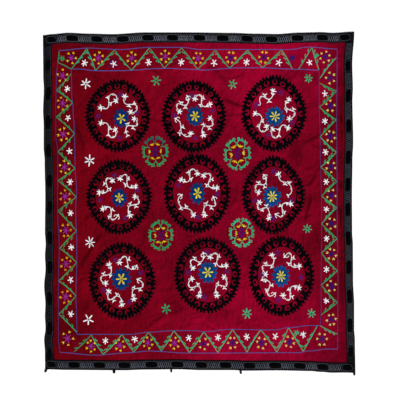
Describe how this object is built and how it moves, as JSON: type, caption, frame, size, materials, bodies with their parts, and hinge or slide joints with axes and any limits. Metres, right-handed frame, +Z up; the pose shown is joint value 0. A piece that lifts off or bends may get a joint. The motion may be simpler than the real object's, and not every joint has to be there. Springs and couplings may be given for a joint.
{
  "type": "embroidered suzani textile",
  "caption": "Large crimson cotton suzani with rows of embroidered roundels, flower borders and a black edge band, lying flat face up.",
  "frame": {"origin": "on the surface that the cloth lies on, below the middle of the whole thing with its loops", "axes": "+X to the right of the design, +Y to its top edge, +Z up out of the embroidered face"},
  "size_m": [2.014, 2.2167, 0.0111],
  "materials": {
    "crimson_cotton": "woven cotton with a faint sheen",
    "black_band": "black cotton with grey stitching",
    "black_edging": "plain black cotton tape",
    "black_cord": "braided black cord",
    "white_thread": "white embroidery silk",
    "black_thread": "black embroidery silk",
    "green_thread": "green embroidery silk",
    "blue_thread": "blue embroidery silk",
    "yellow_thread": "yellow embroidery silk",
    "violet_thread": "violet embroidery silk"
  },
  "bodies": {
    "root": {"ground_cloth": "crimson_cotton", "border_top": "black_band", "border_bottom": "black_band", "border_left": "black_band", "border_right": "black_band", "edging_top": "black_edging", "edging_bottom": "black_edging", "edging_left": "black_edging", "edging_right": "black_edging", "loop_left_corner": "black_cord", "loop_left": "black_cord", "loop_middle_left": "black_cord", "loop_middle_right": "black_cord", "loop_right_corner": "black_cord"}
  },
  "joints": []
}
